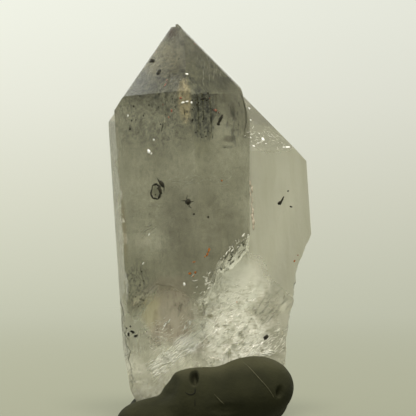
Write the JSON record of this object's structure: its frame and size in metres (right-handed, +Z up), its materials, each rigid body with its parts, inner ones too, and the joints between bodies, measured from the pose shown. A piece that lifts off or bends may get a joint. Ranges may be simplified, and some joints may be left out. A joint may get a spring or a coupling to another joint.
{
  "type": "skeletal amethyst crystal",
  "caption": "Skeletal amethyst point: two parallel-grown quartz prisms with windowed faces and broken lower sides, stood in a pressed lump of display putty.",
  "frame": {"origin": "middle of the footprint of the whole part, at the putty's flat underside", "axes": "+Z up, along the standing crystal; -Y towards the viewer; +X to the viewer's right"},
  "size_m": [0.0206, 0.0202, 0.0401],
  "materials": {
    "quartz": "glossy growth faces, etched windows and satin broken sides",
    "putty": "matte"
  },
  "bodies": {
    "root": {"amethyst_crystal": "quartz", "display_putty": "putty"}
  },
  "joints": []
}
